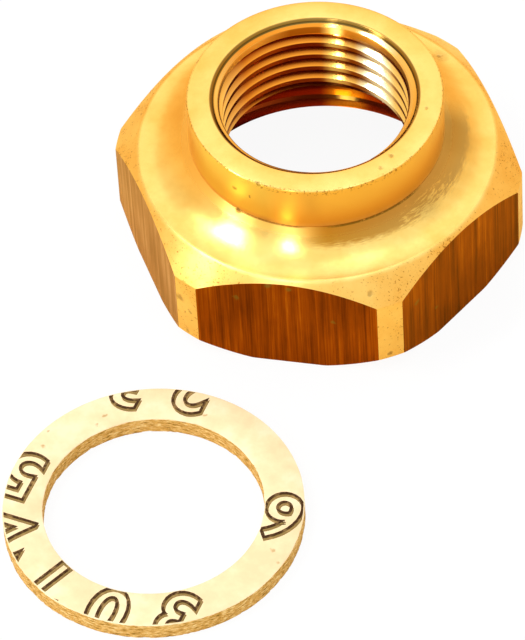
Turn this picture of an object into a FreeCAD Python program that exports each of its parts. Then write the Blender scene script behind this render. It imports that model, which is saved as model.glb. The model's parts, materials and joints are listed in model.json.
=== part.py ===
import FreeCAD, Part
import os
import Sketcher

# A brass reducing socket, G 1 x G 1/2, with its flat seal lying beside it. Millimetres.
# The socket stands on its wide end: the origin is on its axis, in the plane of the base ring, +Z up.
# Both bores have the radius that they are drilled to before the threads are cut, and widen towards
# both ends of the thread.

SIZES = [
    ("lower_major", 33.249, "thread diameter in the wide end"),
    ("lower_depth", 1.2495, "depth of that thread, from the drilled bore outwards"),
    ("upper_major", 20.955, "thread diameter in the narrow end"),
    ("upper_depth", 0.9275, "depth of that thread, from the drilled bore outwards"),
    ("hexagon_wall", 2.3755, "brass left between the wide thread and a flat"),
    ("corner_turning", 0.75, "turned off each corner of the bar"),
    ("hexagon_height", 12.45, "base to the crease between cone and cove"),
    ("crease_inset", 0.35, "crease, inside the flats"),
    ("base_chamfer", 1.82, "45 degree chamfer under the corners"),
    ("cove_rise", 2.2, "crease to the foot of the collar"),
    ("collar_wall", 2.74, "brass left between the narrow thread and the collar's outside"),
    ("collar_length", 7.55, "crease to the top face"),
    ("lip_radius", 0.25, "rounding of the collar's top edge"),
    ("shoulder_web", 2.55, "crease down to the shoulder that the seal goes against"),
    ("mouth_clearance", 0.05, "wide mouth over its thread, on the diameter"),
    ("relief_length", 3.0, "groove where the wide thread ends"),
    ("relief_clearance", 0.25, "that groove over its thread, on the diameter"),
    ("exit_chamfer", 1.05, "45 degree chamfer of the narrow bore where it meets the shoulder"),
    ("rim_margin", 0.25, "top rim over the narrow thread, on the radius"),
    ("rim_chamfer", 0.4, "45 degree chamfer of the top rim"),
    ("rim_step", 0.35, "width of the shallow slope inside that chamfer"),
    ("rim_step_depth", 0.15, "fall of that slope"),
    ("lead_depth", 0.8, "cone from there into the narrow thread"),
    ("seal_clearance", 0.25, "seal inside the wide bore, on the diameter"),
    ("seal_margin", 1.4, "seal's hole over the narrow thread, on the diameter"),
    ("seal_thickness", 2.0, "flat fibre ring"),
    ("seal_gap", 6.85, "front flat to the seal, as they lie"),
    ("seal_offset", 9.9, "seal's centre, left of the socket's axis"),
]

APOTHEM = "(sizes.lower_major / 2 + sizes.hexagon_wall)"
BAR_CORNER = f"({APOTHEM} * 2 / sqrt(3))"
CORNER = f"({BAR_CORNER} - sizes.corner_turning)"
CREASE = f"({APOTHEM} - sizes.crease_inset)"
COLLAR = "(sizes.upper_major / 2 + sizes.collar_wall)"
TOTAL = "(sizes.hexagon_height + sizes.collar_length)"
STRIP_TOP = f"(sizes.hexagon_height - ({CORNER} - {CREASE}))"
COVE_TOP = "(sizes.hexagon_height + sizes.cove_rise)"
COVE_RADIUS = f"((({CREASE} - {COLLAR})^2 + sizes.cove_rise^2) / (2 * sizes.cove_rise))"
BEYOND = "1"    # how far the turned outline runs past the bar
OUTSIDE = f"({BAR_CORNER} + {BEYOND})"

SHOULDER = "(sizes.hexagon_height - sizes.shoulder_web)"
LOWER_BORE = "(sizes.lower_major / 2 - sizes.lower_depth)"
MOUTH = "((sizes.lower_major + sizes.mouth_clearance) / 2)"
RELIEF = "((sizes.lower_major + sizes.relief_clearance) / 2)"
RELIEF_START = f"({SHOULDER} - sizes.relief_length)"
UPPER_BORE = "(sizes.upper_major / 2 - sizes.upper_depth)"
RIM = "(sizes.upper_major / 2 + sizes.rim_margin)"
STEP_EDGE = f"({RIM} - sizes.rim_chamfer)"
STEP_TOP = f"({TOTAL} - sizes.rim_chamfer)"
LEAD_EDGE = f"({STEP_EDGE} - sizes.rim_step)"
LEAD_TOP = f"({STEP_TOP} - sizes.rim_step_depth)"

SEAL_OUTER = f"({LOWER_BORE} - sizes.seal_clearance / 2)"
SEAL_HOLE = "((sizes.upper_major + sizes.seal_margin) / 2)"

POINT = {"start": 1, "end": 2, "centre": 3}    # of a line or arc, as a constraint numbers them
X_AXIS, Y_AXIS = -1, -2
ORIGIN = (-1, 1)


def make_sheet(doc):
    sheet = doc.addObject("Spreadsheet::Sheet", "sizes")
    for row, (alias, value, note) in enumerate(SIZES, start=1):
        sheet.set(f"A{row}", note)
        sheet.set(f"B{row}", str(value))
        sheet.setAlias(f"B{row}", alias)
    doc.recompute()
    return sheet


def make_body(doc, name):
    body = doc.addObject("PartDesign::Body", name)
    body.Label = name
    return body


def sketch_on(body, name, role):
    sketch = body.newObject("Sketcher::SketchObject", name)
    plane = next(item for item in body.Origin.OriginFeatures if item.Role == role)
    sketch.AttachmentSupport = [(plane, "")]
    sketch.MapMode = "FlatFace"
    return sketch


# One constraint whose value follows the sheet.
def bind(sketch, kind, *places, to):
    index = sketch.addConstraint(Sketcher.Constraint(kind, *places, float(sketch.evalExpression(to))))
    sketch.setExpression(f"Constraints[{index}]", to)


# Holds one end of a line or arc at a place that the sheet gives.
def place_point(sketch, geometry, end, across, up):
    for kind, axis, where in (("DistanceX", Y_AXIS, across), ("DistanceY", X_AXIS, up)):
        if where == "0":
            sketch.addConstraint(Sketcher.Constraint("PointOnObject", geometry, end, axis))
        else:
            bind(sketch, kind, *ORIGIN, geometry, end, to=where)


# A closed outline through corners that are given as expressions. The side after the corner numbered
# cove_after is an arc that leaves that corner level and curves upward.
def draw_outline(sketch, corners, cove_after=None):
    spots = [
        FreeCAD.Vector(float(sketch.evalExpression(across)), float(sketch.evalExpression(up)), 0)
        for across, up in corners
    ]
    sides = []
    for number, spot in enumerate(spots):
        following = spots[(number + 1) % len(spots)]
        if number == cove_after:
            radius = float(sketch.evalExpression(COVE_RADIUS))
            centre = spot + FreeCAD.Vector(0, radius, 0)
            circle = Part.Circle(centre, FreeCAD.Vector(0, 0, 1), radius)
            arc = Part.ArcOfCircle(circle, circle.parameter(following), circle.parameter(spot))
            sides.append(sketch.addGeometry(arc, False))
        else:
            sides.append(sketch.addGeometry(Part.LineSegment(spot, following), False))

    for number, side in enumerate(sides):
        after = sides[(number + 1) % len(sides)]
        last = POINT["start"] if number == cove_after else POINT["end"]
        first = POINT["end"] if (number + 1) % len(sides) == cove_after else POINT["start"]
        sketch.addConstraint(Sketcher.Constraint("Coincident", side, last, after, first))

    for number, (across, up) in enumerate(corners):
        if cove_after is None or number not in (cove_after, cove_after + 1):
            place_point(sketch, sides[number], POINT["start"], across, up)
        elif number == cove_after:
            place_point(sketch, sides[number], POINT["end"], across, up)
            bind(sketch, "DistanceX", *ORIGIN, sides[number], POINT["centre"], to=across)
            bind(sketch, "Radius", sides[number], to=COVE_RADIUS)
        else:
            bind(sketch, "DistanceX", *ORIGIN, sides[number], POINT["start"], to=across)


# A regular hexagon with one corner on +X, held by the distance from its centre to a flat.
def draw_hexagon(sketch, apothem):
    corner = float(sketch.evalExpression(apothem)) * 2 / 3**0.5
    turn = FreeCAD.Rotation(FreeCAD.Vector(0, 0, 1), 60)
    spots = [FreeCAD.Vector(corner, 0, 0)]
    for _ in range(5):
        spots.append(turn.multVec(spots[-1]))
    sides = [
        sketch.addGeometry(Part.LineSegment(spot, spots[(number + 1) % 6]), False)
        for number, spot in enumerate(spots)
    ]
    ring = sketch.addGeometry(Part.Circle(FreeCAD.Vector(), FreeCAD.Vector(0, 0, 1), corner), True)
    sketch.addConstraint(Sketcher.Constraint("Coincident", ring, POINT["centre"], *ORIGIN))
    for number, side in enumerate(sides):
        after = sides[(number + 1) % 6]
        sketch.addConstraint(Sketcher.Constraint("Coincident", side, POINT["end"], after, POINT["start"]))
        sketch.addConstraint(Sketcher.Constraint("PointOnObject", side, POINT["start"], ring))
        if number:
            sketch.addConstraint(Sketcher.Constraint("Equal", sides[0], side))
    sketch.addConstraint(Sketcher.Constraint("PointOnObject", sides[0], POINT["start"], X_AXIS))
    bind(sketch, "Radius", ring, to=f"{apothem} * 2 / sqrt(3)")


def draw_ring(sketch, outer, inner):
    for radius in (outer, inner):
        size = float(sketch.evalExpression(radius))
        circle = sketch.addGeometry(Part.Circle(FreeCAD.Vector(), FreeCAD.Vector(0, 0, 1), size), False)
        sketch.addConstraint(Sketcher.Constraint("Coincident", circle, POINT["centre"], *ORIGIN))
        bind(sketch, "Radius", circle, to=radius)


def pad(body, name, sketch, length):
    feature = body.newObject("PartDesign::Pad", name)
    feature.Profile = sketch
    feature.setExpression("Length", length)
    sketch.Visibility = False
    return feature


# Turns the outline away from the bar, all round the socket's axis.
def turn_away(body, name, sketch):
    feature = body.newObject("PartDesign::Groove", name)
    feature.Profile = sketch
    feature.ReferenceAxis = (sketch, ["V_Axis"])
    feature.Angle = 360
    sketch.Visibility = False
    return feature


# Names of the round edges of a shape that have this radius at this height.
def round_edges(shape, radius, height):
    near = 1e-4
    found = []
    for number, edge in enumerate(shape.Edges, start=1):
        if not isinstance(edge.Curve, Part.Circle):
            continue
        if abs(edge.Curve.Radius - radius) < near and abs(edge.Curve.Center.z - height) < near:
            found.append(f"Edge{number}")
    return found


# Hexagon bar, turned outside to the corner strips, cone, cove and collar, then bored from both ends.
def make_socket(doc):
    body = make_body(doc, "socket")

    hexagon = sketch_on(body, "hexagon", "XY_Plane")
    draw_hexagon(hexagon, APOTHEM)
    pad(body, "bar", hexagon, TOTAL)

    outside = sketch_on(body, "outside_outline", "XZ_Plane")
    outside_corners = [
        (f"({CORNER} - sizes.base_chamfer)", "0"),
        (CORNER, "sizes.base_chamfer"),
        (CORNER, STRIP_TOP),
        (CREASE, "sizes.hexagon_height"),
        (COLLAR, COVE_TOP),
        (COLLAR, f"({TOTAL} + {BEYOND})"),
        (OUTSIDE, f"({TOTAL} + {BEYOND})"),
        (OUTSIDE, "0"),
    ]
    draw_outline(outside, outside_corners, cove_after=3)
    doc.recompute()
    turn_away(body, "outside", outside)

    stepped = sketch_on(body, "bore_outline", "XZ_Plane")
    bore_corners = [
        ("0", "0"),
        (MOUTH, "0"),
        (LOWER_BORE, f"({MOUTH} - {LOWER_BORE})"),
        (LOWER_BORE, f"({RELIEF_START} - ({RELIEF} - {LOWER_BORE}))"),
        (RELIEF, RELIEF_START),
        (RELIEF, SHOULDER),
        (f"({UPPER_BORE} + sizes.exit_chamfer)", SHOULDER),
        (UPPER_BORE, f"({SHOULDER} + sizes.exit_chamfer)"),
        (UPPER_BORE, f"({LEAD_TOP} - sizes.lead_depth)"),
        (LEAD_EDGE, LEAD_TOP),
        (STEP_EDGE, STEP_TOP),
        (RIM, TOTAL),
        ("0", TOTAL),
    ]
    draw_outline(stepped, bore_corners)
    doc.recompute()
    bored = turn_away(body, "bore", stepped)
    doc.recompute()

    lip = body.newObject("PartDesign::Fillet", "lip")
    collar = float(lip.evalExpression(COLLAR))
    top = float(lip.evalExpression(TOTAL))
    lip.Base = (bored, round_edges(bored.Shape, collar, top))
    lip.setExpression("Radius", "sizes.lip_radius")
    body.Tip = lip
    return body


# The seal lies in front of the socket and to its left, on the same surface.
def make_seal(doc):
    body = make_body(doc, "seal")
    ring = sketch_on(body, "ring", "XY_Plane")
    draw_ring(ring, SEAL_OUTER, SEAL_HOLE)
    body.Tip = pad(body, "sheet", ring, "sizes.seal_thickness")
    body.setExpression("Placement.Base.x", "-sizes.seal_offset")
    body.setExpression("Placement.Base.y", f"-({APOTHEM} + sizes.seal_gap + {SEAL_OUTER})")
    return body


def check(doc, bodies):
    failed = [item.Name for item in doc.Objects if {"Invalid", "Error"} & set(item.State)]
    if failed:
        raise RuntimeError(f"failed objects: {failed}")
    for body in bodies:
        if body.Shape.isNull() or not body.Shape.isValid() or len(body.Shape.Solids) != 1:
            raise RuntimeError(f"{body.Label} is not one sound solid")


def main():
    doc = FreeCAD.newDocument("reducing_socket")
    make_sheet(doc)
    bodies = [make_socket(doc), make_seal(doc)]
    doc.recompute()
    check(doc, bodies)
    os.makedirs("parts", exist_ok=True)
    for body in bodies:
        body.Shape.exportStep(f"parts/{body.Label}.step")
        box = body.Shape.optimalBoundingBox(False)
        print(body.Label, f"{box.XLength:.2f} x {box.YLength:.2f} x {box.ZLength:.2f} mm")
        print(body.Label, f"volume {body.Shape.Volume:.1f} mm3, faces {len(body.Shape.Faces)}")


main()
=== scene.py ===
import json
import math

import bmesh
import bpy
from mathutils import Matrix, Vector, noise


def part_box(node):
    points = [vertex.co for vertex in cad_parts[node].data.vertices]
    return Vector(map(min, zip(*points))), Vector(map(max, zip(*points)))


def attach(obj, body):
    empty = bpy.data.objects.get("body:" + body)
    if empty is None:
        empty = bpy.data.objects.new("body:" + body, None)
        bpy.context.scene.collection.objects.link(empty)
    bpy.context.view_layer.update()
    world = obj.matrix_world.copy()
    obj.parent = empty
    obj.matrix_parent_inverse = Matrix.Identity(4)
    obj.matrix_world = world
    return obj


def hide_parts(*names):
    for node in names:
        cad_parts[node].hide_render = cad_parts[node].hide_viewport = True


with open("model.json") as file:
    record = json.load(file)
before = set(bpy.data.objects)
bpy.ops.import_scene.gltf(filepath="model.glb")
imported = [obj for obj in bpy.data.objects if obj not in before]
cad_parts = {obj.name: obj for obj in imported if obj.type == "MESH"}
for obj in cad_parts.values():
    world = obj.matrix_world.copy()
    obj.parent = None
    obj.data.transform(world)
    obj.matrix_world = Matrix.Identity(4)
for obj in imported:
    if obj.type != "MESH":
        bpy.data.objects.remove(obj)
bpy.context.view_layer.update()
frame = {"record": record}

mm = 0.001
mounts = {mount["name"]: mount for mount in frame["record"]["mounts"]}
socketLow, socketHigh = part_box("socket")
sealLow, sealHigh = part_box("seal")


# sRGB hex to the linear colour that the shaders take
def hexColour(text):
    channels = [int(text[place:place + 2], 16) / 255 for place in (1, 3, 5)]
    linear = [c / 12.92 if c <= 0.04045 else ((c + 0.055) / 1.055) ** 2.4 for c in channels]
    return (*linear, 1.0)


# Adds one node. inputs holds values, sockets or nodes to link from, where a node stands for its first live
# output. stops holds the colours of a ramp.
def addNode(tree, kind, inputs=None, stops=None, **settings):
    node = tree.nodes.new("ShaderNode" + kind)
    for name, value in settings.items():
        setattr(node, name, value)
    for name, value in (inputs or {}).items():
        if isinstance(value, bpy.types.Node):
            value = next(output for output in value.outputs if output.enabled)
        if isinstance(value, bpy.types.NodeSocket):
            tree.links.new(value, node.inputs[name])
        else:
            node.inputs[name].default_value = value
    if stops:
        ramp = node.color_ramp.elements
        while len(ramp) < len(stops):
            ramp.new(0.5)
        for element, (place, colour) in zip(ramp, stops):
            element.position = place
            element.color = hexColour(colour)
    return node


def newMaterial(name):
    material = bpy.data.materials.new(name)
    material.use_nodes = True
    material.node_tree.nodes.clear()
    return material, material.node_tree


def linkObject(name, mesh):
    piece = bpy.data.objects.new(name, mesh)
    bpy.context.scene.collection.objects.link(piece)
    return piece


def meshFrom(bm, name):
    mesh = bpy.data.meshes.new(name)
    bm.to_mesh(mesh)
    bm.free()
    return mesh


# Points in the plane y = 0 joined into a line, closed or open
def drawLine(bm, points, closed):
    corners = [bm.verts.new((across, 0, up)) for across, up in points]
    for first, second in zip(corners, corners[1:]):
        bm.edges.new((first, second))
    if closed:
        bm.edges.new((corners[-1], corners[0]))
    return corners


# The side of the plane that its normal points to is cut off, and the cut is closed
def cutOff(bm, place, normal):
    cut = bmesh.ops.bisect_plane(bm, geom=bm.verts[:] + bm.edges[:] + bm.faces[:], plane_co=place,
                                 plane_no=normal, clear_outer=True, dist=1e-7)
    rim = [item for item in cut["geom_cut"] if isinstance(item, bmesh.types.BMEdge)]
    bmesh.ops.edgenet_fill(bm, edges=rim)


def sharpen(mesh, degrees):
    for polygon in mesh.polygons:
        polygon.use_smooth = True
    mesh.set_sharp_from_angle(angle=math.radians(degrees))


# Where a point lies round the axis: the place, its radius and height in millimetres, and its turn in degrees
def roundPlace(tree):
    place = addNode(tree, "TexCoord").outputs["Object"]
    across = addNode(tree, "VectorMath", {0: place, 1: (1000, 1000, 0)}, operation="MULTIPLY")
    radius = addNode(tree, "VectorMath", {0: across}, operation="LENGTH")
    apart = addNode(tree, "SeparateXYZ", {0: place}).outputs
    height = addNode(tree, "Math", {0: apart["Z"], 1: 1000.0}, operation="MULTIPLY")
    angle = addNode(tree, "Math", {0: apart["Y"], 1: apart["X"]}, operation="ARCTAN2")
    turn = addNode(tree, "Math", {0: angle}, operation="DEGREES")
    return place, radius, height, turn


# Camera at the photograph's angle
cameraSet = {
    "position": (0.09096, -0.42276, 0.49690),
    "aim": (-0.003745, -0.013907, 0.0),
    "roll": -3.627,     # degrees, the uprights lean to the right
    "lens": 353.72,     # mm on a 36 mm sensor, along the picture's long side
}


def makeCamera():
    lens = bpy.data.cameras.new("camera")
    lens.sensor_width = 36.0
    lens.lens = cameraSet["lens"]
    lens.clip_start = 0.01
    camera = linkObject("camera", lens)
    place = Vector(cameraSet["position"])
    sight = (Vector(cameraSet["aim"]) - place).to_track_quat("-Z", "Y").to_matrix().to_4x4()
    roll = Matrix.Rotation(math.radians(cameraSet["roll"]), 4, "Z")
    camera.matrix_world = Matrix.Translation(place) @ sight @ roll
    bpy.context.scene.camera = camera


# Lamps: azimuth, height and turn in degrees, distance and size in metres. strength is the lamp's brightness
# in the metal, where the white backdrop is 1.
lamps = {
    "softboxLeft": {"azimuth": -172.6, "height": 61.6, "turn": 59, "distance": 1.0, "size": (0.17, 0.40),
                    "strength": 8.0},
    "wingLeft": {"azimuth": 166, "height": 60, "distance": 1.0, "size": (0.22, 0.24), "strength": 1.2},
    "ceiling": {"azimuth": 66, "height": 79, "distance": 1.0, "size": (0.22, 0.22), "strength": 0.7},
    "spotFront": {"azimuth": -118, "height": 71, "turn": 21, "distance": 1.0, "size": (0.065, 0.26),
                  "strength": 11.0},
    "slitFront": {"azimuth": -102, "height": 42, "distance": 1.0, "size": (0.07, 0.55), "strength": 2.6},
    "slitLow": {"azimuth": -104, "height": 12, "distance": 1.0, "size": (0.08, 0.24), "strength": 12.0},
    "slitLeft": {"azimuth": -149, "height": 35, "distance": 1.0, "size": (0.15, 0.20), "strength": 11.5},
    "skyBack": {"azimuth": 103, "height": 54, "distance": 1.2, "size": (1.0, 0.9), "strength": 0.3},
    # the light that the board throws up into the mouth, under the shoulder and out of sight; it faces down
    "mouthGlint": {"azimuth": 93.2, "height": 32.5, "turn": None, "distance": 0.0171,
                   "size": (0.0010, 0.0018), "strength": 2.2, "colour": "#FFC040"},
}


def makeLamps():
    for name, lamp in lamps.items():
        light = bpy.data.lights.new(name, "AREA")
        light.shape = "RECTANGLE"
        light.size, light.size_y = lamp["size"]
        light.energy = lamp["strength"] * 4 * light.size * light.size_y     # watts that give this brightness
        light.color = hexColour(lamp.get("colour", "#FFFFFF"))[:3]
        azimuth, height = math.radians(lamp["azimuth"]), math.radians(lamp["height"])
        level = math.cos(height)
        away = Vector((math.cos(azimuth) * level, math.sin(azimuth) * level, math.sin(height)))
        item = linkObject(name, light)
        item.location = away * lamp["distance"]
        item.visible_camera = False
        turn = lamp.get("turn", 0)
        if turn is not None:
            facing = (-away).to_track_quat("-Z", "Y").to_matrix()
            item.rotation_euler = (facing @ Matrix.Rotation(math.radians(turn), 3, "Z")).to_euler()


room = {
    "ambient": 0.85,         # what the room gives to matt surfaces
    "floorSize": 3.0,
    "floorBelow": 0.01 * mm,      # just under the pieces, so that no two faces share a plane
    "floorShown": 0.93,      # share of the floor that stays white in the shadow for the camera
    "paper": "#FAFAF8",
    "floorMirrored": "#FFE4A4",   # the floor as the metal shows it, warm
    "skyStrength": 1.4,
    # what the metal mirrors, up from the horizon: warm walls, then a white ceiling
    "sky": [(0.0, "#DCAA61"), (0.17, "#EBC07A"), (0.33, "#F0D29C"), (0.5, "#E4D6B4"), (0.67, "#EEF0E4"),
            (0.83, "#F4FAF6")],
    # what is mirrored twice, in the bores: a dark wall with one tall window
    "innerWall": "#4A2208",
    "innerReach": (0.42, 0.47, 0.57, 0.62),      # shares of the way up where the wall begins and ends
    "window": (-103, 7.5, 5.0),    # azimuth, half width, half width of its even part, degrees
    "windowGlow": 4.2,
    # painted light and shade on the floor of the mouth, a glow seen only by the metal that stands in for the
    # light falling through the bore, by its direction from the back wall
    "paintedFall": [(0.0, "#FFF0D0"), (0.111, "#FFE8C0"), (0.142, "#9E5C14"), (0.176, "#9E5C14"),
               (0.192, "#FFF4D8"), (0.219, "#FFF4D8"), (0.238, "#76331A"), (0.32, "#76331A"),
               (0.36, "#A66430"), (0.44, "#A0602C"), (0.6, "#4A1A0C"), (0.9, "#4A1A0C"), (0.99, "#D0A070")],
    "backWall": (0.0, 9.5),        # mm
    "mouth": (17.5, 15.5),         # mm, radius where this light fades in
    "floorSheen": (0.25, 0.06),    # share of gloss on it, and its roughness
}


def seenByCamera(tree, path):
    return addNode(tree, "Math", {0: path["Is Camera Ray"], 1: path["Is Transmission Ray"]},
                   operation="MAXIMUM")


# White all round for the camera, a warm room for the metal, and softer light for what is matt
def makeWorld():
    world = bpy.data.worlds.new("studio")
    bpy.context.scene.world = world
    world.use_nodes = True
    tree = world.node_tree
    tree.nodes.clear()
    path = addNode(tree, "LightPath").outputs
    way = addNode(tree, "SeparateXYZ", {0: addNode(tree, "NewGeometry").outputs["Position"]}).outputs
    up = addNode(tree, "Math", {0: way["Z"]}, operation="ARCSINE")
    share = addNode(tree, "Math", {0: up, 1: math.pi / 2}, operation="DIVIDE")
    sky = addNode(tree, "ValToRGB", {"Fac": share}, stops=room["sky"])

    middle, half, halfEven = [math.radians(angle) for angle in room["window"]]
    heading = addNode(tree, "Math", {0: way["Y"], 1: way["X"]}, operation="ARCTAN2")
    aside = addNode(tree, "Math", {0: heading, 1: middle}, operation="SUBTRACT")
    away = addNode(tree, "Math", {0: aside}, operation="ABSOLUTE")
    window = addNode(tree, "MapRange", {"Value": away, "From Min": half, "From Max": halfEven,
                                        "To Max": room["windowGlow"]}, interpolation_type="SMOOTHSTEP")
    wall = addNode(tree, "Mix", {0: 1.0, 6: hexColour(room["innerWall"]), 7: window}, data_type="RGBA",
                   blend_type="ADD")
    foot, footEnd, headStart, head = room["innerReach"]
    above = addNode(tree, "MapRange", {"Value": share, "From Min": foot, "From Max": footEnd})
    below = addNode(tree, "MapRange", {"Value": share, "From Min": head, "From Max": headStart})
    between = addNode(tree, "Math", {0: above, 1: below}, operation="MULTIPLY")
    twice = addNode(tree, "Math", {0: path["Glossy Depth"], 1: 1.5}, operation="GREATER_THAN")
    inner = addNode(tree, "Math", {0: twice, 1: between}, operation="MULTIPLY")
    mirrored = addNode(tree, "Mix", {0: inner, 6: sky, 7: wall}, data_type="RGBA")

    level = addNode(tree, "MapRange", {"Value": seenByCamera(tree, path), "To Min": room["ambient"],
                                       "To Max": 1.0})
    white = addNode(tree, "Background", {"Color": (1, 1, 1, 1), "Strength": level})
    walled = addNode(tree, "Background", {"Color": mirrored, "Strength": room["skyStrength"]})
    both = addNode(tree, "MixShader", {"Fac": path["Is Glossy Ray"], 1: white, 2: walled})
    addNode(tree, "OutputWorld", {"Surface": both})


# White paper that keeps the shadow. Inside the mouth, what is mirrored sees the paper glow with painted light
# and shade that stand in for the light falling through the bore.
def makeFloor():
    bm = bmesh.new()
    bmesh.ops.create_grid(bm, x_segments=1, y_segments=1, size=room["floorSize"] / 2,
                          matrix=Matrix.Translation((0, 0, -room["floorBelow"])))
    floor = linkObject("floor", meshFrom(bm, "floor"))
    material, tree = newMaterial("paper_roll_white")
    path = addNode(tree, "LightPath").outputs
    share = addNode(tree, "Math", {0: seenByCamera(tree, path), 1: room["floorShown"]}, operation="MULTIPLY")
    paper = addNode(tree, "Mix", {0: path["Is Glossy Ray"], 6: hexColour(room["paper"]),
                                  7: hexColour(room["floorMirrored"])}, data_type="RGBA")

    place, radius = roundPlace(tree)[:2]
    apart = addNode(tree, "SeparateXYZ", {0: place}).outputs
    wallX, wallY = room["backWall"]
    fromX = addNode(tree, "Math", {0: apart["X"], 1: wallX * mm}, operation="SUBTRACT")
    fromY = addNode(tree, "Math", {0: apart["Y"], 1: wallY * mm}, operation="SUBTRACT")
    angle = addNode(tree, "Math", {0: fromY, 1: fromX}, operation="ARCTAN2")
    heading = addNode(tree, "MapRange", {"Value": angle, "From Min": -math.pi, "From Max": math.pi})
    # painted light and shade on the floor of the mouth, by direction from the back wall
    paintedFall = addNode(tree, "ValToRGB", {"Fac": heading}, stops=room["paintedFall"])
    mouthStart, mouthEnd = room["mouth"]
    shade = addNode(tree, "MapRange", {"Value": radius, "From Min": mouthStart, "From Max": mouthEnd})
    hidden = addNode(tree, "Math", {0: shade, 1: path["Is Glossy Ray"]}, operation="MULTIPLY")
    light = addNode(tree, "Mix", {0: hidden, 6: (1, 1, 1, 1), 7: paintedFall}, data_type="RGBA")
    glowing = addNode(tree, "Math", {0: share, 1: hidden}, operation="MAXIMUM")

    matt = addNode(tree, "BsdfDiffuse", {"Color": paper})
    glow = addNode(tree, "Emission", {"Color": light, "Strength": 1.0})
    both = addNode(tree, "MixShader", {"Fac": glowing, 1: matt, 2: glow})
    sheenShare, sheenRoughness = room["floorSheen"]
    sheen = addNode(tree, "BsdfGlossy", {"Color": (1, 1, 1, 1), "Roughness": sheenRoughness})
    part = addNode(tree, "Math", {0: hidden, 1: sheenShare}, operation="MULTIPLY")
    board = addNode(tree, "MixShader", {"Fac": part, 1: both, 2: sheen})
    addNode(tree, "OutputMaterial", {"Surface": board})
    floor.data.materials.append(material)


# How ragged all marks are: the even share of them, how far their edge strays, and the size of its shapes
markSet = {"even": 0.35, "stray": 0.9 * mm, "shape": 0.714286 * mm}


# Marks at known places, ragged at the edge. Each is x, y, z, radius in mm and how strongly it shows.
def marksAt(tree, place, marks, seed):
    stray = markSet["stray"]
    ragged = addNode(tree, "TexNoise", {"Vector": place, "Scale": 1 / markSet["shape"] + seed, "Detail": 3.0})
    shift = addNode(tree, "VectorMath", {0: ragged.outputs["Color"], 1: (0.5, 0.5, 0.5)},
                    operation="SUBTRACT")
    moved = addNode(tree, "VectorMath", {0: shift, 1: (stray, stray, stray), 2: place},
                    operation="MULTIPLY_ADD")
    total = 0.0
    for x, y, z, radius, strength in marks:
        away = addNode(tree, "VectorMath", {0: moved, 1: (x * mm, y * mm, z * mm)}, operation="DISTANCE")
        mark = addNode(tree, "MapRange", {"Value": away, "From Min": radius * mm,
                                          "From Max": radius * mm * markSet["even"], "To Max": strength},
                       interpolation_type="SMOOTHSTEP")
        total = addNode(tree, "Math", {0: mark, 1: total}, operation="MAXIMUM")
    return total


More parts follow.
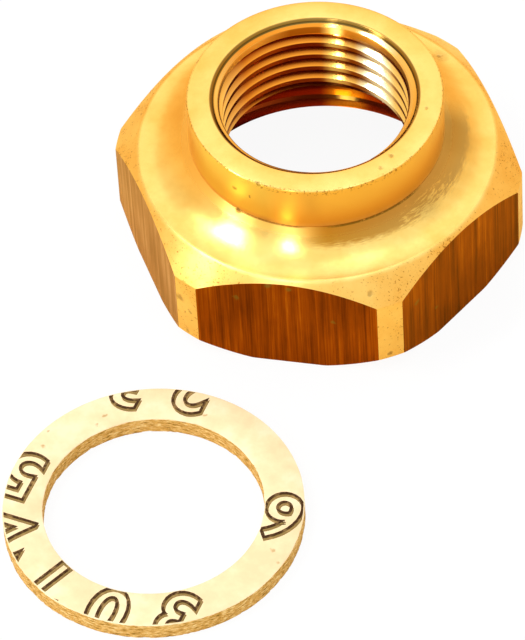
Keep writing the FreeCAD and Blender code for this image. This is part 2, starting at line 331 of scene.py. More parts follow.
# Turned brass: cut on a lathe with a sharp tool and left bright. The tool's rings spread each mirrored
# lamp across them, from edge to edge, and keep it narrow along them. The cone over the corners was only
# skimmed, so it is more matt.
brassSet = {
    "bright": "#F1CF7E",
    "deep": "#E9BC64",
    # patterns of the deeper tone, the rougher skin and what breaks up the dirt: size, detail, roughness
    "patterns": [(4.3478 * mm, 5.0, 0.62), (0.52632 * mm, 3.0, 0.7), (0.238095 * mm, 2.0, 0.7)],
    "cloudTones": (0.35, 0.68),
    "grainTones": (0.3, 0.7),
    "smooth": (0.17, 0.23),
    "skimmed": (18.3, 18.8, 0.38),     # the cone: radius in mm where it begins and is full, and its roughness
    "rings": 0.72,             # how much further a reflection spreads across the tool's rings than along them
    # zones: colours by turn in half turns, radius and height in mm that they lie between, the width of their
    # fade, and how rough they are. Their colours by turn on the collar and in the bores are painted light and
    # shade.
    "zones": [
        # collar: a painted reflection, brighter yellow, on its front left
        ([(-0.85, "#E9BA54"), (-0.76, "#EED064"), (-0.58, "#EED064"), (-0.53, "#E9BA54")],
         (12.9, 13.3), (14.7, 19.9), 0.05, 0.32),  # collar
        ([(0.0, "#EBBF66")], (13.0, 13.7), (14.0, 14.9), 0.5, 0.36),  # foot of the cove
        # wide bore: painted shade, dark red, with a painted golden glint in a column at the back
        ([(0.0, "#BC5C26"), (0.45, "#BC5C26"), (0.475, "#F4B848"), (0.53, "#F4B848"), (0.555, "#BC5C26")],
         (10.0, 16.9), (0.3, 10.9), 0.05, 0.15),  # wide bore
        # narrow bore: painted light and shade by turn, a pale painted highlight on the back right and a
        # painted golden glint at the back
        ([(0.0, "#F2CE80"), (0.24, "#F2CE80"), (0.30, "#FFF4D4"), (0.37, "#FFF4D4"), (0.42, "#E8AC50"),
          (0.46, "#E8AC50"), (0.485, "#F0C060"), (0.505, "#F0C060"), (0.54, "#E8902E"), (0.82, "#E8902E")],
         (8.0, 10.5), (9.0, 19.62), 0.05, 0.15),  # narrow bore
        # painted shade in the thread's roots, dark red, with a pale painted highlight on the back right and a
        # painted golden glint at the back
        ([(0.0, "#E8B860"), (0.26, "#E8B860"), (0.31, "#FCE8B4"), (0.37, "#FCE8B4"), (0.42, "#94420C"),
          (0.455, "#94420C"), (0.485, "#E0A040"), (0.505, "#E0A040"), (0.53, "#8E350A"), (0.82, "#8E350A")],
         (10.2, 10.6), (10.2, 18.9), 0.6, 0.15),
        # lead-in: painted light and shade by turn, with a painted golden glint at the back
        ([(0.0, "#F0C878"), (0.40, "#D89A38"), (0.45, "#C88424"), (0.485, "#F6D070"), (0.505, "#F6D070"),
          (0.54, "#A66214"), (0.64, "#A66214"), (0.76, "#E4A84C"), (0.85, "#E4A84C")],
         (9.5, 10.0), (18.9, 19.6), 0.05, 0.30),  # lead-in
    ],
    "strokes": (4.0, 0.2),     # length in degrees and width in mm of the strokes that the dull band lies in
    # dull darker band at the foot of the cove over its front and right, broken up by strokes
    "band": {
        "turn": (-80, 20),  # degrees, from its first colour to its second
        "colours": ("#B87C20", "#BCA468"),
        "outer": (15.35, 16.35),  # mm, its outer radius at these turns
        "eaten": 1.1,  # mm that the strokes eat out of its outer edge
        # from none to full: mm past its outer edge, turn at both ends, height and radius in mm
        "fades": ((0.4, -0.5), (-93, -74), (33, 14), (14.85, 14.65), (12.9, 13.1)),
        "thinPart": (-28, 4, 30),  # degrees: middle of the thinner part, half of what is full, half of all
        "thinPartTone": (-0.2, 0.1),  # what the stroke tones gain outside and inside that part
        "foot": (13.5, 14.8, -0.2),  # mm over which it grows denser towards the collar, and by how much
        "cover": (0.62, 0.5, 0.4),  # stroke tones that are bare and covered, and what stays when bare
    },
    "toolPitch": 0.25,         # mm, coarser than the tool's feed so that the marks still show at this size
    "toolDepth": 0.0012 * mm,
    "toolWander": (6.25 * mm, 6.0),    # over what length and how far, in mm, the marks change along a ring
    "swell": 0.010 * mm,
    "film": "#A07C38",         # thin olive oxide film in the cove
    "films": [(13.9, 2.0, 13.7, 3.4, 0.25), (12.6, -7.6, 13.6, 2.2, 0.25), (-3.2, -13.4, 14.3, 1.5, 0.3),
              (10.6, 13.9, 12.5, 1.2, 0.3)],
    "pit": "#6B4A18",
    "pitDepth": 0.05 * mm,
    "pitRoughness": 0.25,      # added to the brass round it
    "pits": [(-6.06, -11.84, 14.58, 0.38, 0.6), (-4.58, -12.4, 17.62, 0.30, 0.6),
             (-6.26, -11.64, 17.72, 0.34, 0.5), (-3.61, -12.65, 19.91, 0.40, 0.5),
             (9.1, -7.08, 20.0, 0.42, 0.45), (8.37, -8.83, 20.0, 0.36, 0.35),
             (8.65, -18.04, 11.08, 0.45, 0.4), (10.45, -18.43, 2.35, 0.42, 0.6),
             (10.58, 13.91, 12.54, 0.45, 0.4), (11.65, -0.1, 20.0, 0.30, 0.35),
             (-11.32, -17.91, 7.06, 0.7, 0.5), (-10.22, -18.56, 5.63, 0.3, 0.4),
             (-10.64, -18.32, 2.41, 0.35, 0.4)],
    # dark lines along edges, dirt and painted shade in the corner at the collar's foot and on the rim's
    # chamfer: colour, radius, height and width in mm, how broken it is, and the turn in degrees at its middle
    # and half its length
    "edges": [("#7A4A10", 13.26, 14.62, 0.13, 0.30, -103, 20), ("#6A5216", 13.26, 14.60, 0.14, 0.35, -52, 26),
              ("#8A5414", 13.20, 19.80, 0.46, 0.54, -72, 44), ("#9A7030", 13.15, 19.93, 0.20, 0.54, 0, 360),
              ("#6E4C10", 10.64, 19.91, 0.28, 0.0, 90, 135), ("#6E4C10", 10.64, 19.91, 0.28, 0.0, -180, 60),
              ("#2A2406", 10.47, 19.74, 0.16, 0.0, 90, 135), ("#2A2406", 10.47, 19.74, 0.16, 0.0, -180, 50)],
    "edgeTone": (0.12, 0.8),         # from bare to dark, and how much the dark line hides
    "speck": "#9A6420",              # fine dark specks on the cone
    "specks": (0.80, 0.85, 0.75),    # tones from none to full, and how dark they are
    "crowding": 0.35,                # how much they gather in the deeper patches
}


def turnedBrass():
    material, tree = newMaterial("brass_turned_bright")
    place, radius, height, turn = roundPlace(tree)
    wanderSize, wanderReach = brassSet["toolWander"]
    wander = addNode(tree, "TexNoise", {"Vector": place, "Scale": 1 / wanderSize, "Detail": 2.0})
    slow = addNode(tree, "Math", {0: wander, 1: wanderReach}, operation="MULTIPLY")
    rings = addNode(tree, "CombineXYZ", {"X": radius, "Y": height, "Z": slow})
    toolMarks = addNode(tree, "TexNoise", {"Vector": rings, "Scale": 1 / brassSet["toolPitch"],
                                           "Detail": 1.0})
    cloud, grain, sand = [addNode(tree, "TexNoise", {"Vector": place, "Scale": 1 / size, "Detail": detail,
                                                     "Roughness": roughness})
                          for size, detail, roughness in brassSet["patterns"]]
    strokeLength, strokeWidth = brassSet["strokes"]
    swept = addNode(tree, "Math", {0: turn, 1: strokeWidth / strokeLength}, operation="MULTIPLY")
    path = addNode(tree, "CombineXYZ", {"X": radius, "Y": height, "Z": swept})
    strokes = addNode(tree, "TexNoise", {"Vector": path, "Scale": 1 / strokeWidth, "Detail": 3.0,
                                         "Roughness": 0.65})

    bright, deep = brassSet["cloudTones"]
    tone = addNode(tree, "MapRange", {"Value": cloud, "From Min": bright, "From Max": deep})
    colour = addNode(tree, "Mix", {0: tone, 6: hexColour(brassSet["bright"]), 7: hexColour(brassSet["deep"])},
                     data_type="RGBA")
    (fine, coarse), (low, high) = brassSet["grainTones"], brassSet["smooth"]
    rough = addNode(tree, "MapRange", {"Value": grain, "From Min": fine, "From Max": coarse, "To Min": low,
                                       "To Max": high})
    wholeTurn = addNode(tree, "MapRange", {"Value": turn, "From Min": -180.0, "From Max": 180.0})
    # zones of colour; those that change by turn on the collar and in the bores are painted light and shade
    for stops, (inside, outside), (below, above), fade, dullness in brassSet["zones"]:
        share = 1.0
        for value, first, last in ((radius, inside - fade, inside), (radius, outside + fade, outside),
                                   (height, below - fade, below), (height, above + fade, above)):
            step = addNode(tree, "MapRange", {"Value": value, "From Min": first, "From Max": last})
            share = addNode(tree, "Math", {0: step, 1: share}, operation="MULTIPLY")
        placed = [(0.5 + 0.5 * halfTurns, shade) for halfTurns, shade in stops + [(1.0, stops[0][1])]]
        tint = addNode(tree, "ValToRGB", {"Fac": wholeTurn}, stops=placed)
        colour = addNode(tree, "Mix", {0: share, 6: colour, 7: tint}, data_type="RGBA")
        rough = addNode(tree, "Mix", {0: share, 2: rough, 3: dullness})

    # the band, broken up by the strokes at its edge and in its thinner part
    band = brassSet["band"]
    (firstTurn, lastTurn), (firstReach, lastReach) = band["turn"], band["outer"]
    along = addNode(tree, "MapRange", {"Value": turn, "From Min": firstTurn, "From Max": lastTurn})
    reach = addNode(tree, "MapRange", {"Value": along, "To Min": firstReach, "To Max": lastReach})
    eaten = addNode(tree, "Math", {0: strokes, 1: -band["eaten"], 2: reach}, operation="MULTIPLY_ADD")
    past = addNode(tree, "Math", {0: radius, 1: eaten}, operation="SUBTRACT")
    middle, near, far = band["thinPart"]
    fromMiddle = addNode(tree, "Math", {0: turn, 1: middle}, operation="SUBTRACT")
    apart = addNode(tree, "Math", {0: fromMiddle}, operation="ABSOLUTE")
    thinning = addNode(tree, "MapRange", {"Value": apart, "From Min": far, "From Max": near,
                                      "To Min": band["thinPartTone"][0], "To Max": band["thinPartTone"][1]},
                   interpolation_type="SMOOTHSTEP")
    footStart, footEnd, footTone = band["foot"]
    foot = addNode(tree, "MapRange", {"Value": radius, "From Min": footStart, "From Max": footEnd,
                                      "To Min": footTone, "To Max": 0.0})
    bandGaps = addNode(tree, "Math", {0: thinning, 1: strokes}, operation="ADD")
    bandGaps = addNode(tree, "Math", {0: bandGaps, 1: foot}, operation="ADD")
    bare, covered, stays = band["cover"]
    dull = addNode(tree, "MapRange", {"Value": bandGaps, "From Min": bare, "From Max": covered,
                                      "To Min": stays})
    for value, (first, last) in zip((past, turn, turn, height, radius), band["fades"]):
        step = addNode(tree, "MapRange", {"Value": value, "From Min": first, "From Max": last},
                       interpolation_type="SMOOTHSTEP")
        dull = addNode(tree, "Math", {0: step, 1: dull}, operation="MULTIPLY")
    first, last = [hexColour(tint) for tint in band["colours"]]
    bandColour = addNode(tree, "Mix", {0: along, 6: first, 7: last}, data_type="RGBA")
    colour = addNode(tree, "Mix", {0: dull, 6: colour, 7: bandColour}, data_type="RGBA")
    film = marksAt(tree, place, brassSet["films"], 1)
    colour = addNode(tree, "Mix", {0: film, 6: colour, 7: hexColour(brassSet["film"])}, data_type="RGBA")

    # dark lines along the edges: dirt, and painted shade in the corners
    ring = addNode(tree, "CombineXYZ", {"X": radius, "Y": height})
    spread, hides = brassSet["edgeTone"]
    for dirtAndShade, edgeRadius, edgeHeight, width, broken, middle, half in brassSet["edges"]:
        away = addNode(tree, "VectorMath", {0: ring, 1: (edgeRadius, edgeHeight, 0)}, operation="DISTANCE")
        near = addNode(tree, "MapRange", {"Value": away, "From Min": width, "From Max": width * 0.5},
                       interpolation_type="SMOOTHSTEP")
        left = addNode(tree, "MapRange", {"Value": sand, "From Min": broken, "From Max": broken + spread,
                                          "To Max": hides})
        fromMiddle = addNode(tree, "Math", {0: turn, 1: middle}, operation="SUBTRACT")
        apart = addNode(tree, "Math", {0: fromMiddle}, operation="ABSOLUTE")
        ends = addNode(tree, "MapRange", {"Value": apart, "From Min": half, "From Max": half * 0.7})
        grimeAndShade = addNode(tree, "Math", {0: near, 1: left}, operation="MULTIPLY")
        grimeAndShade = addNode(tree, "Math", {0: grimeAndShade, 1: ends}, operation="MULTIPLY")
        colour = addNode(tree, "Mix", {0: grimeAndShade, 6: colour, 7: hexColour(dirtAndShade)}, data_type="RGBA")

    # specks on the skimmed cone, and pits
    coneStart, coneEnd, coneRoughness = brassSet["skimmed"]
    skimmed = addNode(tree, "MapRange", {"Value": radius, "From Min": coneStart, "From Max": coneEnd})
    crowded = addNode(tree, "Math", {0: cloud, 1: brassSet["crowding"], 2: sand}, operation="MULTIPLY_ADD")
    bare, full, darkness = brassSet["specks"]
    dark = addNode(tree, "MapRange", {"Value": crowded, "From Min": bare, "From Max": full,
                                      "To Max": darkness})
    speckled = addNode(tree, "Math", {0: dark, 1: skimmed}, operation="MULTIPLY")
    colour = addNode(tree, "Mix", {0: speckled, 6: colour, 7: hexColour(brassSet["speck"])}, data_type="RGBA")
    pits = marksAt(tree, place, brassSet["pits"], 2)
    colour = addNode(tree, "Mix", {0: pits, 6: colour, 7: hexColour(brassSet["pit"])}, data_type="RGBA")

    skin = addNode(tree, "Mix", {0: skimmed, 2: rough, 3: coneRoughness})
    rougher = addNode(tree, "Math", {0: pits, 1: brassSet["pitRoughness"], 2: skin}, operation="MULTIPLY_ADD")
    swell = addNode(tree, "Bump", {"Height": cloud, "Distance": brassSet["swell"]})
    lines = addNode(tree, "Bump", {"Height": toolMarks, "Distance": brassSet["toolDepth"], "Normal": swell})
    dents = addNode(tree, "Bump", {"Height": pits, "Distance": brassSet["pitDepth"], "Normal": lines},
                    invert=True)
    grooves = addNode(tree, "VectorMath", {0: place, 1: (0, 0, 1)}, operation="CROSS_PRODUCT")
    facing = addNode(tree, "NewGeometry").outputs["Normal"]
    across = addNode(tree, "VectorMath", {0: grooves, 1: facing}, operation="CROSS_PRODUCT")
    spread = addNode(tree, "VectorMath", {0: across}, operation="NORMALIZE")
    shader = addNode(tree, "BsdfPrincipled", {"Base Color": colour, "Metallic": 1.0, "Roughness": rougher,
                                              "Normal": dents, "Anisotropic": brassSet["rings"],
                                              "Tangent": spread})
    addNode(tree, "OutputMaterial", {"Surface": shader})
    return material


# Drawn brass: the skin that the bar keeps from the drawing die, brown and streaked along the bar. The flat
# that faces the front left is painted paler: painted light.
drawnSet = {
    "tones": [(0.0, "#632803"), (0.3, "#823C05"), (0.55, "#994A06"), (0.8, "#B0600C"), (1.0, "#D28428")],
    "paintedLit": [(0.0, "#86523A"), (0.5, "#AA7A60"), (1.0, "#DAB8A4")],
    "paintedLitSide": -150,        # degrees, the way that the flat with the painted light faces
    # streaks: width and length in mm, detail, and share of the whole
    "streaks": [(0.16, 9.0, 2.0, 0.34), (0.7, 30.0, 2.0, 0.40), (4.0, 9.0, 3.0, 0.26)],
    "streakTones": (0.36, 0.68),
    "streakDepth": 0.010 * mm,
    "roughness": 0.42,
    "edgeTint": "#FFF6C4",     # an oxide skin stays brown where it is seen at a low angle
    "spot": "#7C7433",
    "spots": [(-1.77, -19.0, 11.68, 0.5, 0.6), (0.28, -19.0, 11.4, 0.4, 0.6), (-5.18, -19.0, 9.38, 0.5, 0.55),
              (4.78, -19.0, 7.13, 0.4, 0.5), (12.91, -15.64, 7.74, 0.5, 0.5),
              (14.46, -12.95, 4.07, 0.4, 0.5)],
}


def drawnBrass():
    material, tree = newMaterial("brass_drawn_skin")
    place = addNode(tree, "TexCoord").outputs["Object"]
    streaks = 0.0
    for width, length, detail, share in drawnSet["streaks"]:
        squeezed = addNode(tree, "VectorMath", {0: place, 1: (1000 / width, 1000 / width, 1000 / length)},
                           operation="MULTIPLY")
        layer = addNode(tree, "TexNoise", {"Vector": squeezed, "Scale": 1.0, "Detail": detail,
                                           "Roughness": 0.6})
        streaks = addNode(tree, "Math", {0: layer, 1: share, 2: streaks}, operation="MULTIPLY_ADD")
    dark, light = drawnSet["streakTones"]
    spread = addNode(tree, "MapRange", {"Value": streaks, "From Min": dark, "From Max": light})
    skin = addNode(tree, "ValToRGB", {"Fac": spread}, stops=drawnSet["tones"])
    # painted light: paler tones for the flat that faces the front left
    paintedLit = addNode(tree, "ValToRGB", {"Fac": spread}, stops=drawnSet["paintedLit"])
    side = math.radians(drawnSet["paintedLitSide"])
    facing = addNode(tree, "VectorMath", {0: place, 1: (math.cos(side), math.sin(side), 0)},
                     operation="DOT_PRODUCT")
    onSide = addNode(tree, "MapRange", {"Value": facing, "From Min": socketHigh.y - 0.3 * mm,
                                        "From Max": socketHigh.y - 0.1 * mm})
    colour = addNode(tree, "Mix", {0: onSide, 6: skin, 7: paintedLit}, data_type="RGBA")
    spots = marksAt(tree, place, drawnSet["spots"], 3)
    colour = addNode(tree, "Mix", {0: spots, 6: colour, 7: hexColour(drawnSet["spot"])}, data_type="RGBA")
    bump = addNode(tree, "Bump", {"Height": streaks, "Distance": drawnSet["streakDepth"]})
    shader = addNode(tree, "BsdfPrincipled", {"Base Color": colour, "Metallic": 1.0, "Normal": bump,
                                              "Roughness": drawnSet["roughness"],
                                              "Specular Tint": hexColour(drawnSet["edgeTint"])})
    addNode(tree, "OutputMaterial", {"Surface": shader})
    return material


# The brass body: a blank turned from hexagon bar, then tapped from both ends
socketSet = {
    "steps": 360,
    "baseChamfer": 1.82 * mm,
    "stripTop": 9.911 * mm,
    "crease": (18.65 * mm, 12.45 * mm),
    "coveRise": 2.2 * mm,
    "coveSteps": 18,
    "collarRadius": 13.2175 * mm,
    "rimRadius": 10.7275 * mm,
    "rimChamfer": 0.40 * mm,
    "rimStep": (9.9775 * mm, 19.45 * mm),
    "leadBottom": 18.65 * mm,
    "exitChamfer": 1.05 * mm,
    "shoulder": 9.9 * mm,
    "reliefRadius": 16.7495 * mm,
    "reliefBottom": 6.9 * mm,
    "mouthRadius": 16.6495 * mm,
    "lipRadius": 0.25 * mm,
    "creaseRadius": 0.30 * mm,
    "edgeRadius": 0.08 * mm,
    "flat": (18.9 * mm, 20 * mm ** 2),     # least distance from the axis and area of a flat's face
    "sharp": 24,               # degrees between two faces from which their edge stays sharp
}

# Parallel pipe threads, 55 degrees between the flanks. edge is the turn and height where the root's upper
# edge meets the bore.
threads = {
    "narrow": {"major": 20.955 * mm, "pitch": 1.814 * mm, "core": 9.3 * mm, "from": 8.4 * mm, "to": 21.2 * mm,
               "edge": (90, 18.80 * mm), "steps": 144},
    "wide": {"major": 33.249 * mm, "pitch": 2.309 * mm, "core": 15.1 * mm, "from": -1.4 * mm, "to": 8.3 * mm,
             "edge": (104, 2.58 * mm), "steps": 216},
}


# Outline of one side of the blank, in the plane y = 0, as (radius, height)
def blankOutline(bm):
    top = socketHigh.z
    corner = socketHigh.x
    creaseRadius, creaseHeight = socketSet["crease"]
    narrowBore = mounts["narrow_thread"]["dims"]["r_mm"] * mm
    wideBore = mounts["wide_thread"]["dims"]["r_mm"] * mm
    collar, rim, rimChamfer = socketSet["collarRadius"], socketSet["rimRadius"], socketSet["rimChamfer"]
    mouth, relief = socketSet["mouthRadius"], socketSet["reliefRadius"]
    rise, steps = socketSet["coveRise"], socketSet["coveSteps"]
    run = creaseRadius - collar
    coveRadius = (run ** 2 + rise ** 2) / (2 * rise)
    sweep = math.asin(run / coveRadius)

    points = [
        (mouth, 0.0),
        (corner - socketSet["baseChamfer"], 0.0),
        (corner, socketSet["baseChamfer"]),
        (corner, socketSet["stripTop"]),
        (creaseRadius, creaseHeight),
    ]
    for step in range(1, steps + 1):
        turn = sweep * step / steps
        across, up = coveRadius * math.sin(turn), coveRadius * (1 - math.cos(turn))
        points.append((creaseRadius - across, creaseHeight + up))
    points += [
        (collar, top),
        (rim, top),
        (rim - rimChamfer, top - rimChamfer),
        socketSet["rimStep"],
        (narrowBore, socketSet["leadBottom"]),
        (narrowBore, socketSet["shoulder"] + socketSet["exitChamfer"]),
        (narrowBore + socketSet["exitChamfer"], socketSet["shoulder"]),
        (relief, socketSet["shoulder"]),
        (relief, socketSet["reliefBottom"]),
        (wideBore, socketSet["reliefBottom"] - (relief - wideBore)),
        (wideBore, mouth - wideBore),
    ]
    corners = drawLine(bm, points, closed=True)
    collarTop = corners[5 + steps]
    others = corners[1:5] + corners[6 + steps:]
    crease = others.pop(3)
    for chosen, radius in (([collarTop], socketSet["lipRadius"]), ([crease], socketSet["creaseRadius"]),
                           (others, socketSet["edgeRadius"])):
        bmesh.ops.bevel(bm, geom=chosen, affect="VERTICES", offset=radius, offset_type="OFFSET", segments=3,
                        profile=0.5, material=-1)


def turnBlank():
    bm = bmesh.new()
    blankOutline(bm)
    bmesh.ops.spin(bm, geom=bm.verts[:] + bm.edges[:], cent=(0, 0, 0), axis=(0, 0, 1), angle=math.tau,
                   steps=socketSet["steps"], use_merge=True)
    bmesh.ops.remove_doubles(bm, verts=bm.verts[:], dist=1e-6)
    bmesh.ops.recalc_face_normals(bm, faces=bm.faces[:])
    for side in range(6):
        way = Matrix.Rotation(math.radians(30 + 60 * side), 3, "Z") @ Vector((1, 0, 0))
        cutOff(bm, way * socketHigh.y, way)
    bmesh.ops.recalc_face_normals(bm, faces=bm.faces[:])
    return meshFrom(bm, "blank")


# A rod with the thread's form, one pitch of outline swept along the screw line. Its foot and top lie in
# the open, so that only the flanks and the rounded root are cut into the brass.
def threadRod(name, thread):
    pitch, core = thread["pitch"], thread["core"]
    slope = math.tan(math.radians(27.5))  # of a flank, half the angle between the two
    depth = 0.960491 * pitch              # height of the sharp triangle
    rounding = 0.137329 * pitch           # radius of the root, which meets each flank after 62.5 degrees
    tip = thread["major"] / 2 + depth / 6
    centre = thread["major"] / 2 - rounding
    startAngle, edgeHeight = thread["edge"]
    bore = mounts[name + "_thread"]["dims"]["r_mm"] * mm
    middle = edgeHeight - (tip - bore) * slope         # height of the root at the given angle
    outline = [(core, -pitch / 2), (core, -(tip - core) * slope)]
    for step in range(5):
        turn = math.radians(62.5) * (step - 2) / 2
        outline.append((centre + rounding * math.cos(turn), rounding * math.sin(turn)))
    outline += [(core, (tip - core) * slope), (core, pitch / 2)]

    below = math.ceil((middle - thread["from"]) / pitch) + 1
    turns = below + math.ceil((thread["to"] - middle) / pitch) + 1
    bm = bmesh.new()
    drawLine(bm, outline, closed=False)
    bmesh.ops.translate(bm, verts=bm.verts[:], vec=(0, 0, middle - below * pitch))
    bmesh.ops.rotate(bm, verts=bm.verts[:], cent=(0, 0, 0),
                     matrix=Matrix.Rotation(math.radians(startAngle), 3, "Z"))
    bmesh.ops.spin(bm, geom=bm.verts[:] + bm.edges[:], cent=(0, 0, 0), axis=(0, 0, 1), angle=math.tau,
                   dvec=(0, 0, pitch / thread["steps"]), steps=thread["steps"])
    oneTurn = bm.verts[:] + bm.edges[:] + bm.faces[:]
    for count in range(1, turns):
        copied = bmesh.ops.duplicate(bm, geom=oneTurn)["geom"]
        bmesh.ops.translate(bm, verts=[item for item in copied if isinstance(item, bmesh.types.BMVert)],
                            vec=(0, 0, pitch * count))
    bmesh.ops.remove_doubles(bm, verts=bm.verts[:], dist=2e-6)
    cutOff(bm, (0, 0, thread["from"]), (0, 0, -1))
    cutOff(bm, (0, 0, thread["to"]), (0, 0, 1))
    bmesh.ops.recalc_face_normals(bm, faces=bm.faces[:])
    return linkObject(name + "Rod", meshFrom(bm, name + "Rod"))


def cutWith(piece, tool, operation="DIFFERENCE", solver="MANIFOLD"):
    cut = piece.modifiers.new("cut", "BOOLEAN")
    cut.use_self = solver == "EXACT"      # outlines of a numeral cross at its corners
    cut.operation = operation
    cut.solver = solver
    cut.object = tool
    bpy.context.view_layer.update()
    result = bpy.data.meshes.new_from_object(piece.evaluated_get(bpy.context.evaluated_depsgraph_get()))
    piece.modifiers.remove(cut)
    piece.data = result
    bpy.data.objects.remove(tool)


def makeSocket():
    body = linkObject("reducingSocket", turnBlank())
    for name, thread in threads.items():
        cutWith(body, threadRod(name, thread))
    bm = bmesh.new()
    bm.from_mesh(body.data)
    bmesh.ops.remove_doubles(bm, verts=bm.verts[:], dist=1e-6)
    flatAway, flatArea = socketSet["flat"]
    for face in bm.faces:
        upright = abs(face.normal.z) < 0.01
        away = face.calc_center_median().xy.length
        face.material_index = int(upright and away > flatAway and face.calc_area() > flatArea)
    print("socket: faces", len(bm.faces), "open edges", sum(1 for edge in bm.edges if not edge.is_manifold))
    body.data = meshFrom(bm, "reducingSocket")
    sharpen(body.data, socketSet["sharp"])
    body.data.materials.append(turnedBrass())
    body.data.materials.append(drawnBrass())
    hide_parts("socket")
    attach(body, "root")


# The flat seal: punched from fibre sheet that was printed with its size
sealSet = {
    "inner": 11.1775 * mm,
    "steps": 720,
    "layers": 8,
    "topRoll": 0.12 * mm,       # the punch draws the upper edges down
    "fray": 0.10 * mm,          # what breaks out fibre by fibre
    "wave": 0.08 * mm,          # what is lost in long waves round the ring
    "waves": 6,
    "fibre": (0.7 * mm, 0.18 * mm),     # length round the edge and thickness of a loose fibre
    "cloudSize": 3.0303 * mm,
    "clouds": [(0.36, "#FCE6BC"), (0.5, "#F9DEAE"), (0.64, "#F5D6A6")],
    "fibreSize": 0.41667 * mm,          # coarser than the real fibres, so that they show
    "nap": 0.02 * mm,
    "faceSkin": (0.8, 0.25),            # roughness and specular level
    "speckSize": 2.38095 * mm,
    "specks": (0.13, 0.07, 0.965),      # a speck's reach from none to full, and the share of places without
    "speck": "#B58A4A",
    "torn": [(0.34, "#86661E"), (0.43, "#C4903E"), (0.54, "#DCAC5C"), (0.66, "#F2D490")],
    "tornDepth": 0.12 * mm,
    "edgeSkin": (0.9, 0.2),
    "sharp": 40,
    "chips": [(-17.0, -30.4, 2.0, 0.30, 0.7), (-17.6, -31.7, 2.0, 0.26, 0.6), (-22.4, -35.2, 2.0, 0.32, 0.7),
              (-22.3, -33.2, 2.0, 0.26, 0.6), (-6.9, -28.8, 2.0, 0.30, 0.6), (3.0, -45.0, 2.0, 0.28, 0.6),
              (3.7, -46.6, 2.0, 0.26, 0.5), (-23.0, -45.0, 2.0, 0.24, 0.5)],
}

# Numerals of the size print, as digit, place from the seal's centre in mm
printSet = {
    "digits": [("3", -5.2, 15.4), ("2", 1.2, 15.6), ("5", -13.9, 2.2), ("6", 13.0, 0.8),
               ("2", -13.6, -6.2), ("7", -8.6, -10.9), ("0", -2.0, -13.6), ("3", 4.8, -13.0)],
    "turn": 168,
    "size": 8.0 * mm,
    "bold": 0.20 * mm,
    "margin": 0.12 * mm,        # bare edge of the sheet
    "finest": 0.0008 * mm,      # shorter edges are merged
    # outline of the numerals, then the paler ink that spread beside it: half width, shift, height, colour
    "layers": {"printOutline": (0.18 * mm, (0.0, 0.0), 0.006 * mm, "#40260A"),
               "printSpread": (0.17 * mm, (0.13 * mm, -0.28 * mm), 0.003 * mm, "#8E7440")},
    "soakSize": 0.55556 * mm,
    "soakTones": (0.5, 0.8, 0.6),       # from dry to soaked, and how much of the paler colour shows there
    "soaked": "#C79E62",
    "skin": (0.7, 0.2),
}


# Pressed fibre sheet: fibres and binder under heat, matt, cream, with soft clouds and dark specks
def sheetFace():
    material, tree = newMaterial("fibre_sheet_pressed")
    place = addNode(tree, "TexCoord").outputs["Object"]
    cloud = addNode(tree, "TexNoise", {"Vector": place, "Scale": 1 / sealSet["cloudSize"], "Detail": 4.0,
                                       "Roughness": 0.6})
    fibres = addNode(tree, "TexNoise", {"Vector": place, "Scale": 1 / sealSet["fibreSize"], "Detail": 3.0,
                                        "Distortion": 1.5})
    specks = addNode(tree, "TexVoronoi", {"Vector": place, "Scale": 1 / sealSet["speckSize"]}).outputs
    tone = addNode(tree, "ValToRGB", {"Fac": cloud}, stops=sealSet["clouds"])
    rim, core, bare = sealSet["specks"]
    dot = addNode(tree, "MapRange", {"Value": specks["Distance"], "From Min": rim, "From Max": core})
    chance = addNode(tree, "SeparateColor", {0: specks["Color"]})
    rare = addNode(tree, "Math", {0: chance, 1: bare}, operation="GREATER_THAN")
    speck = addNode(tree, "Math", {0: dot, 1: rare}, operation="MULTIPLY")
    chips = marksAt(tree, place, sealSet["chips"], 4)
    marked = addNode(tree, "Math", {0: speck, 1: chips}, operation="MAXIMUM")
    colour = addNode(tree, "Mix", {0: marked, 6: tone, 7: hexColour(sealSet["speck"])}, data_type="RGBA")
    bump = addNode(tree, "Bump", {"Height": fibres, "Distance": sealSet["nap"], "Strength": 0.6})
    roughness, gloss = sealSet["faceSkin"]
    shader = addNode(tree, "BsdfPrincipled", {"Base Color": colour, "Roughness": roughness,
                                              "Specular IOR Level": gloss, "Normal": bump})
    addNode(tree, "OutputMaterial", {"Surface": shader})
    return material


# Punched edge of the sheet: torn fibre ends in layers, tan with dark gaps
def sheetEdge():
    material, tree = newMaterial("fibre_sheet_punched_edge")
    place = addNode(tree, "TexCoord").outputs["Object"]
    length, thickness = sealSet["fibre"]
    layered = addNode(tree, "VectorMath", {0: place, 1: (1 / length, 1 / length, 1 / thickness)},
                      operation="MULTIPLY")
    torn = addNode(tree, "TexNoise", {"Vector": layered, "Scale": 1.0, "Detail": 4.0, "Roughness": 0.65})
    tone = addNode(tree, "ValToRGB", {"Fac": torn}, stops=sealSet["torn"])
    bump = addNode(tree, "Bump", {"Height": torn, "Distance": sealSet["tornDepth"]})
    roughness, gloss = sealSet["edgeSkin"]
    shader = addNode(tree, "BsdfPrincipled", {"Base Color": tone, "Roughness": roughness,
                                              "Specular IOR Level": gloss, "Normal": bump})
    addNode(tree, "OutputMaterial", {"Surface": shader})
    return material


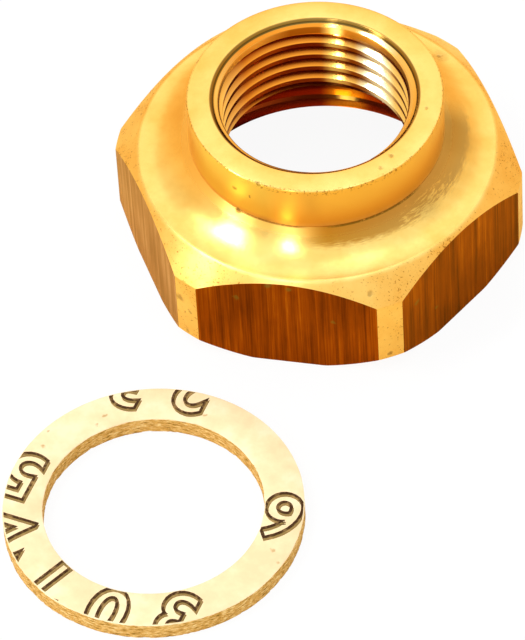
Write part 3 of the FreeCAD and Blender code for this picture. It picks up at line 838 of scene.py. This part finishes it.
# Printing ink, stamped and soaked into the sheet: matt brown, paler where the fibres drank it
def printInk(name, ink):
    material, tree = newMaterial(name)
    place = addNode(tree, "TexCoord").outputs["Object"]
    soaked = addNode(tree, "TexNoise", {"Vector": place, "Scale": 1 / printSet["soakSize"], "Detail": 3.0})
    dry, wet, most = printSet["soakTones"]
    share = addNode(tree, "MapRange", {"Value": soaked, "From Min": dry, "From Max": wet, "To Max": most})
    tone = addNode(tree, "Mix", {0: share, 6: hexColour(ink), 7: hexColour(printSet["soaked"])},
                   data_type="RGBA")
    roughness, gloss = printSet["skin"]
    shader = addNode(tree, "BsdfPrincipled", {"Base Color": tone, "Roughness": roughness,
                                              "Specular IOR Level": gloss})
    addNode(tree, "OutputMaterial", {"Surface": shader})
    return material


# A ring spun from its section
def turnRing(points, steps):
    bm = bmesh.new()
    drawLine(bm, points, closed=True)
    bmesh.ops.spin(bm, geom=bm.verts[:] + bm.edges[:], cent=(0, 0, 0), axis=(0, 0, 1), angle=math.tau,
                   steps=steps, use_merge=True)
    bmesh.ops.remove_doubles(bm, verts=bm.verts[:], dist=1e-6)
    bmesh.ops.recalc_face_normals(bm, faces=bm.faces[:])
    return bm


# Both punched edges lose a little where fibres broke out, and never gain
def frayEdges(bm, inner, outer):
    length, thickness = sealSet["fibre"]
    waves = sealSet["waves"]
    for vert in bm.verts:
        radius = vert.co.xy.length
        side = 1 if abs(radius - inner) < 1e-6 else -1 if abs(radius - outer) < 1e-6 else 0
        if not side:
            continue
        way = vert.co.xy.normalized()
        spot = Vector((vert.co.x / length, vert.co.y / length, vert.co.z / thickness))
        torn = noise.fractal(spot, 0.8, 2.0, 3)
        wave = noise.noise(Vector((way.x * waves, way.y * waves, side * 3.0)))      # not alike on both edges
        lost = max(torn, 0) * sealSet["fray"] + max(wave, 0) * sealSet["wave"]
        vert.co.x += way.x * side * lost
        vert.co.y += way.y * side * lost


def makeSeal():
    centre = (sealLow + sealHigh) / 2
    outer = (sealHigh.x - sealLow.x) / 2
    inner = sealSet["inner"]
    top = sealHigh.z
    roll = sealSet["topRoll"]
    layers = sealSet["layers"]
    levels = [(top - roll) * step / layers for step in range(layers + 1)]
    points = [(outer, level) for level in levels]
    points += [(outer - roll * 0.3, top - roll * 0.3), (outer - roll, top)]
    points += [(inner + roll, top), (inner + roll * 0.3, top - roll * 0.3)]
    points += [(inner, level) for level in levels[::-1]]
    bm = turnRing(points, sealSet["steps"])
    for face in bm.faces:
        face.material_index = int(abs(face.normal.z) < 0.3)
    frayEdges(bm, inner, outer)
    bmesh.ops.translate(bm, verts=bm.verts[:], vec=(centre.x, centre.y, 0))
    print("seal: faces", len(bm.faces), "open edges", sum(1 for edge in bm.edges if not edge.is_manifold))
    seal = linkObject("fibreSeal", meshFrom(bm, "fibreSeal"))
    sharpen(seal.data, sealSet["sharp"])
    seal.data.materials.append(sheetFace())
    seal.data.materials.append(sheetEdge())
    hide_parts("seal")
    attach(seal, "root")
    return centre, outer, inner, top


# A numeral's outline as a round line, at the origin
def numeralMesh(name, digit, width):
    curve = bpy.data.curves.new(name, "FONT")
    curve.body = digit
    curve.size = printSet["size"]
    curve.align_x = "CENTER"
    curve.align_y = "CENTER"
    curve.fill_mode = "NONE"
    curve.offset = printSet["bold"]
    curve.bevel_depth = width
    curve.bevel_resolution = 1
    curve.resolution_u = 6
    letter = linkObject(name, curve)
    bpy.context.view_layer.update()
    mesh = bpy.data.meshes.new_from_object(letter.evaluated_get(bpy.context.evaluated_depsgraph_get()))
    bpy.data.objects.remove(letter)
    return mesh


# One layer of the print: outlines of all numerals, cut off at the sheet's edges and pressed flat on it
def makePrint(name, centre, outer, inner, top):
    width, shift, height, ink = printSet["layers"][name]
    bm = bmesh.new()
    for digit, across, along in printSet["digits"]:
        mesh = numeralMesh(name, digit, width)
        place = Vector((across * mm + shift[0], along * mm + shift[1], 0))
        mesh.transform(Matrix.Translation(place) @ Matrix.Rotation(math.radians(printSet["turn"]), 4, "Z"))
        bm.from_mesh(mesh)
        bpy.data.meshes.remove(mesh)
    bmesh.ops.remove_doubles(bm, verts=bm.verts[:], dist=1e-6)
    bmesh.ops.recalc_face_normals(bm, faces=bm.faces[:])
    layer = linkObject(name, meshFrom(bm, name))
    margin = printSet["margin"]
    near, far, deep = inner + margin, outer - margin, 1 * mm
    section = [(near, -deep), (far, -deep), (far, deep), (near, deep)]
    cutter = linkObject(name + "Cutter", meshFrom(turnRing(section, 180), name))
    cutWith(layer, cutter, "INTERSECT", "EXACT")
    bm = bmesh.new()
    bm.from_mesh(layer.data)
    bmesh.ops.remove_doubles(bm, verts=bm.verts[:], dist=printSet["finest"])
    bmesh.ops.dissolve_degenerate(bm, edges=bm.edges[:], dist=printSet["finest"])
    bmesh.ops.delete(bm, geom=[edge for edge in bm.edges if not edge.link_faces], context="EDGES")
    bmesh.ops.scale(bm, verts=bm.verts[:], vec=(1, 1, height / width))
    bmesh.ops.recalc_face_normals(bm, faces=bm.faces[:])
    print(name, "faces", len(bm.faces))
    layer.data = meshFrom(bm, name)
    layer.data.validate()
    layer.data.transform(Matrix.Translation((centre.x, centre.y, top)))
    layer.data.materials.clear()
    layer.data.materials.append(printInk("ink_" + name, ink))
    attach(layer, "root")


bpy.context.scene.view_settings.view_transform = "Standard"
makeCamera()
makeWorld()
makeLamps()
makeFloor()
print("studio ready")
makeSocket()
print("socket ready")
sealPlace = makeSeal()
print("seal ready")
for layerName in printSet["layers"]:
    makePrint(layerName, *sealPlace)
print("print ready")
